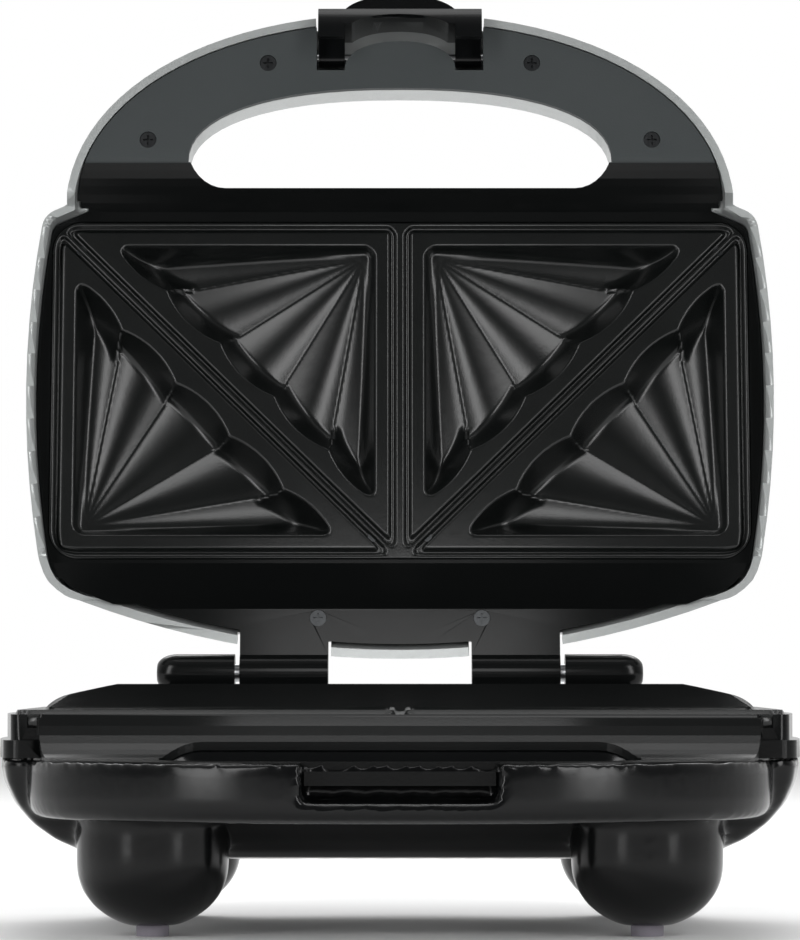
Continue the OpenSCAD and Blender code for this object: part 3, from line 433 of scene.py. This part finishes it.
# %% Smooth the other shells
def smooth_shell(name, node, body, slot, crease, finish=None):
    """A welded copy of a CAD node with smooth normals, shown in its stead."""
    bm = welded(node)
    bmesh.ops.dissolve_degenerate(bm, edges=bm.edges[:], dist=WELD)
    return piece(name, bm, body, slot, node, crease, finish=finish)


WALL_CREASE, ARM_CREASE, DOME_CREASE = 12, 13, 28
for shell in (
        ("frame_base", "base_frame", "base", "black_satin", WALL_CREASE),
        ("cover_lid", "lid_cover", "lid", "silver_paint", DOME_CREASE),
        ("latch_shell", "latch", "latch", "black_gloss", WALL_CREASE),
        ("housing_lid", "lid_housing", "lid", "charcoal", ARM_CREASE, "charcoal_lid")):
    smooth_shell(*shell)

# %% [markdown]
# ## Cooking plates
# Each plate is one casting: two squares, each split by a diagonal into two pockets shaped like
# fans. The CAD plate has the pockets as planar facets, so a finer skin stands for it. A grid is the
# simplest start, because every detail is a height above it: sealing grooves, sloped pocket walls
# and scooped flutes. The grid's cells follow the squares, so its diagonals run along the grooves.

# %% Sizes of a plate
MM = 0.001
SLICE_W, SLICE_D, SLICE_GAP, SLICE_BACK = 114.2, 112.5, 2.0, 37.2
PLATE_EDGE, PLATE_THICK, PLATE_CORNER = 0.7, 4.0, 10.0
LOWER_FACE, UPPER_FACE = 66.0, 66.8
POCKET_MARGIN, POCKET_CORNER, SCALLOP_SUM, SCALLOP_R = 6.9, 4.2, 86.0, 30.0
POCKET_DEPTH, CREASE_FALL, FLUTE_FALL, FLUTES, FLUTE_SHARE = 4.0, 4.6, 7.2, 5, 0.21
FAN_TIP, WALL_HEIGHT, LEG_RUN, EDGE_RUN = 4.0, 9.0, 4.6, 6.2
GROOVE_W, GROOVE_DEPTH, RIDGE_HEIGHT, HALF_WEB = 2.1, 1.7, 1.3, 0.4
GROOVE_CORNER, GROOVE_FLANK, GROOVE_START = 3.4, 0.5, 0.05
LIP_W, LIP_CURVE, CORNER_EASE = 0.9, 1.5, 2.4
TRAY_WALL, CELLS_ACROSS = 2.6, 184
print("plate cell", round(SLICE_W / CELLS_ACROSS, 2), "mm")

# %% Heights of a pocket
def soft_max(a, b, radius):
    """The larger of two heights, with a fillet where they meet."""
    h = np.clip(radius - np.abs(a - b), 0, None) / radius
    return np.maximum(a, b) + h * h * radius / 4


def corner_distance(distances, radius):
    """Distance into a shape whose straight edges meet in rounded corners."""
    nearest = np.minimum.reduce(distances)
    outside = [np.clip(radius - d, 0, None) for d in distances]
    rounded = radius - np.sqrt(sum(o * o for o in outside))
    in_corner = sum((o > 0).astype(int) for o in outside) > 1
    return np.where(in_corner, np.minimum(nearest, rounded), nearest)


def pocket_height(u, v):
    """Height inside one pocket, with u and v measured from its right-angled corner along the legs."""
    reach = np.clip(u + v - 2 * FAN_TIP, 1e-3, None)
    along = reach / (SCALLOP_SUM - 2 * FAN_TIP)
    share = (FAN_TIP + (u - FAN_TIP) / along) / SCALLOP_SUM
    flute = (share - 0.5) / FLUTE_SHARE + FLUTES / 2
    inside = np.clip(flute, 0.02, FLUTES - 0.02)
    across = 2 * (inside - np.floor(inside)) - 1
    scoop = (1 - np.abs(across) ** 1.8)
    fall = CREASE_FALL + (FLUTE_FALL - CREASE_FALL) * scoop
    floor = -(POCKET_DEPTH - 0.3) - fall * np.clip(along, 0, 1.05)
    # long edge: one arc to a flute, measured square to the line u + v = SCALLOP_SUM
    half_chord = SCALLOP_SUM * FLUTE_SHARE / math.sqrt(2)
    base_line = SCALLOP_SUM / math.sqrt(2) - math.sqrt(SCALLOP_R ** 2 - half_chord ** 2)
    which = np.clip(np.floor((u / (u + v + 1e-6) - 0.5) / FLUTE_SHARE + FLUTES / 2), 0, FLUTES - 1)
    middle = SCALLOP_SUM * (which - (FLUTES - 1) / 2) * FLUTE_SHARE * math.sqrt(2)
    aside = np.clip((u - v) / math.sqrt(2) - middle, -half_chord * 1.3, half_chord * 1.3)
    edge = base_line + np.sqrt(SCALLOP_R ** 2 - aside ** 2) - (u + v) / math.sqrt(2)
    into = corner_distance([u, v, edge], POCKET_CORNER)
    legs = -np.minimum(np.minimum(u, v), into) * WALL_HEIGHT / LEG_RUN
    long_edge = -edge * WALL_HEIGHT / EDGE_RUN
    hollow = soft_max(soft_max(floor, legs, 2.2), long_edge, 3.0)
    return hollow, into


near_tip = np.array([12.0])
print("depth near a pocket's tip", round(float(pocket_height(near_tip, near_tip)[0][0]), 2), "mm")

# %% Heights of a whole square
def square_height(x, r, groove):
    """Height of the left square: x from its outer side, r from its rear.

    The groove is cut in where it is negative and stands up where it is positive."""
    slope = math.hypot(SLICE_W, SLICE_D)
    diagonal = (x * SLICE_D + r * SLICE_W - SLICE_W * SLICE_D) / slope
    height = np.zeros_like(x)
    for u, v, side in ((SLICE_W - x, SLICE_D - r, diagonal), (x, r, -diagonal)):
        d = corner_distance([u - HALF_WEB, v - HALF_WEB, side - HALF_WEB], GROOVE_CORNER)
        rise = np.clip((d - GROOVE_START) / GROOVE_FLANK, 0, 1)
        fall = np.clip((GROOVE_W + GROOVE_START - d) / GROOVE_FLANK, 0, 1)
        profile = rise * fall
        profile = profile * profile * (3 - 2 * profile)
        height = np.where(d > 0, groove * profile, height)
        hollow, depth_in = pocket_height(u - POCKET_MARGIN, v - POCKET_MARGIN)
        rim = np.clip(depth_in / LIP_W, 0, 1) ** LIP_CURVE
        height = np.where(depth_in > 0, np.minimum(height, hollow * rim), height)
    return height


middle = np.array([SLICE_W / 2])
print("height on the diagonal", round(float(square_height(middle, middle, 1.0)[0]), 2), "mm")

# %% Build both plates
def corner_pull(x, r, deep):
    """Moves the points of a square grid into its two rounded outer corners."""
    for corner_r in (PLATE_CORNER, deep - PLATE_CORNER):
        sign = -1 if corner_r < deep / 2 else 1
        dx, dr = PLATE_CORNER - x, (r - corner_r) * sign
        outer = (dx > 0) & (dr > 0)
        reach, length = np.maximum(dx, dr), np.hypot(dx, dr)
        share = reach / np.where(length > 0, length, 1)
        eased = np.clip(reach / PLATE_CORNER, 0, 1) ** CORNER_EASE
        pull = np.where(outer, 1 - (1 - share) * eased, 1)
        x = np.where(outer, PLATE_CORNER - dx * pull, x)
        r = np.where(outer, corner_r + dr * pull * sign, r)
    return x, r


def plate_skin(face, groove):
    """A closed plate: a fine grid in front, a coarser one behind that follows the pockets, a rim.

    The quads are split one fixed way, so that a ridge and its groove have the same triangles."""
    bm = bmesh.new()
    across = SLICE_W + SLICE_GAP / 2 + PLATE_EDGE
    deep = SLICE_D + 2 * PLATE_EDGE
    bmesh.ops.create_grid(bm, x_segments=CELLS_ACROSS, y_segments=CELLS_ACROSS, size=0.5,
                          matrix=Matrix.Translation((0, 0, 1)))
    coarse = CELLS_ACROSS // 2
    back = bmesh.ops.create_grid(bm, x_segments=coarse, y_segments=coarse, size=0.5)["verts"]
    back_edges = dict.fromkeys(e for v in back for e in v.link_edges)
    back_rim = [e for e in back_edges if e.is_boundary]
    bmesh.ops.subdivide_edges(bm, edges=back_rim, cuts=1)
    verts = list(bm.verts)
    co = np.array([v.co for v in verts])
    is_front = co[:, 2] > 0.5
    x = (co[:, 0] + 0.5) * across
    r = (0.5 - co[:, 1]) * deep
    height = square_height(x - PLATE_EDGE, r - PLATE_EDGE, groove)
    behind = np.minimum(-PLATE_THICK, height - TRAY_WALL)
    x, r = corner_pull(x, r, deep)
    z = face + np.where(is_front, height, behind)
    for vert, px, pr, pz in zip(verts, x, r, z):
        vert.co = ((px - across) * MM, HINGE_Y - (SLICE_BACK - PLATE_EDGE + pr) * MM, pz * MM)
    bmesh.ops.mirror(bm, geom=bm.verts[:] + bm.edges[:] + bm.faces[:], axis="X", merge_dist=0.00001)
    rim = [e for e in bm.edges if e.is_boundary and min(v.co.z for v in e.verts) > (face - 1) * MM]
    skirt = bmesh.ops.extrude_edge_only(bm, edges=rim)["geom"]
    for vert in (g for g in skirt if isinstance(g, bmesh.types.BMVert)):
        vert.co.z = (face - PLATE_THICK) * MM
    bmesh.ops.remove_doubles(bm, verts=bm.verts[:], dist=0.00002)
    bmesh.ops.recalc_face_normals(bm, faces=bm.faces[:])
    bmesh.ops.triangulate(bm, faces=bm.faces[:], quad_method="FIXED", ngon_method="BEAUTY")
    print("open edges of the plate", sum(not e.is_manifold for e in bm.edges))
    return bm


OVER = Matrix.Translation((0, 0, (LOWER_FACE + UPPER_FACE) * MM)) @ Matrix.Scale(-1, 4, (0, 0, 1))
lower_skin = plate_skin(LOWER_FACE, RIDGE_HEIGHT)
piece("plate_lower", lower_skin, "base", "coated_plate", "lower_plate", 0)
upper_skin = plate_skin(LOWER_FACE, -GROOVE_DEPTH)
upper_skin.transform(OVER)
bmesh.ops.reverse_faces(upper_skin, faces=upper_skin.faces[:])
piece("plate_upper", upper_skin, "lid", "coated_plate", "upper_plate", 0, place=lid_place())

# %% [markdown]
# ## Floor, light and background
# The photograph has a clean white background and soft light, with the white set showing at grazing
# angles on the gloss. The world is white to the camera, and reflections see it white behind the
# object and dim in front. Black gloss shows any lamp in its mirror direction, so the large lamps
# stand at the sides, above and behind. The two tall ones at the sides draw the soft lines on the
# legs and flutes, and a small weak strip close to the lid lifts its plate a little.

# %% Make the stage
DIM_TO_WHITE_Y, DIM_TO_WHITE = (-0.55, 0.35), (0.1, 1.0)


def studio_world():
    """White for the camera and in mirrors behind the object, dimmer where a dark room lies in front."""
    world = bpy.data.worlds.new("studio")
    bpy.context.scene.world = world
    world.use_nodes = True
    tree = world.node_tree
    tree.nodes.clear()
    add = tree.nodes.new
    path, where = add("ShaderNodeLightPath"), add("ShaderNodeTexCoord")
    split, span = add("ShaderNodeSeparateXYZ"), add("ShaderNodeMapRange")
    sky, out = add("ShaderNodeBackground"), add("ShaderNodeOutputWorld")
    most = add("ShaderNodeMath")
    most.operation = "MAXIMUM"
    tree.links.new(where.outputs["Generated"], split.inputs[0])
    tree.links.new(split.outputs["Y"], span.inputs[0])
    for socket, number in enumerate((*DIM_TO_WHITE_Y, *DIM_TO_WHITE), 1):
        span.inputs[socket].default_value = number
    tree.links.new(path.outputs["Is Camera Ray"], most.inputs[0])
    tree.links.new(span.outputs[0], most.inputs[1])
    tree.links.new(most.outputs[0], sky.inputs["Strength"])
    sky.inputs["Color"].default_value = (1, 1, 1, 1)
    tree.links.new(sky.outputs[0], out.inputs[0])


def soft_lamp(name, place, target, size, power):
    """A large rectangular lamp that the camera doesn't see."""
    lamp = bpy.data.lights.new(name, "AREA")
    lamp.shape = "RECTANGLE"
    lamp.size, lamp.size_y = size
    lamp.energy = power
    holder = bpy.data.objects.new(name, lamp)
    holder.location = place
    holder.rotation_euler = (Vector(target) - Vector(place)).to_track_quat("-Z", "Y").to_euler()
    holder.visible_camera = False
    bpy.context.scene.collection.objects.link(holder)


def pale_floor():
    """A plain pale floor that takes the object's soft shadow."""
    bm = bmesh.new()
    bmesh.ops.create_grid(bm, x_segments=8, y_segments=8, size=3)
    mesh = bpy.data.meshes.new("floor")
    bm.to_mesh(mesh)
    bm.free()
    floor = bpy.data.objects.new("floor", mesh)
    bpy.context.scene.collection.objects.link(floor)
    f = Finish("floor_paper", Specular_IOR_Level=0.1)
    paper = f.noise(0.004, 3)
    tone = f.blend(paper, (0.93, 0.93, 0.93), (0.96, 0.96, 0.96))
    f.give(Base_Color=tone, Roughness=paper * 0.1 + 0.85)
    mesh.materials.append(f.material)


studio_world()
pale_floor()
MIDDLE, TALL, SIDE_POWER = (0, 0.02, 0.12), (0.32, 1.3), 9.5
for lamp_name, side in (("left", -1), ("right", 1)):
    soft_lamp(lamp_name, (side * 0.85, -1.1, 0.62), MIDDLE, TALL, SIDE_POWER)
soft_lamp("key", (0, 0.1, 1.7), MIDDLE, (0.9, 0.4), 3)
soft_lamp("back", (0, 1.0, 1.1), (0, 0.05, 0.15), (1.2, 0.6), 9)
soft_lamp("strip", (0, -0.1, 0.132), (0, 0.11, 0.16), (0.11, 0.065), 0.1)
print("stage ready")
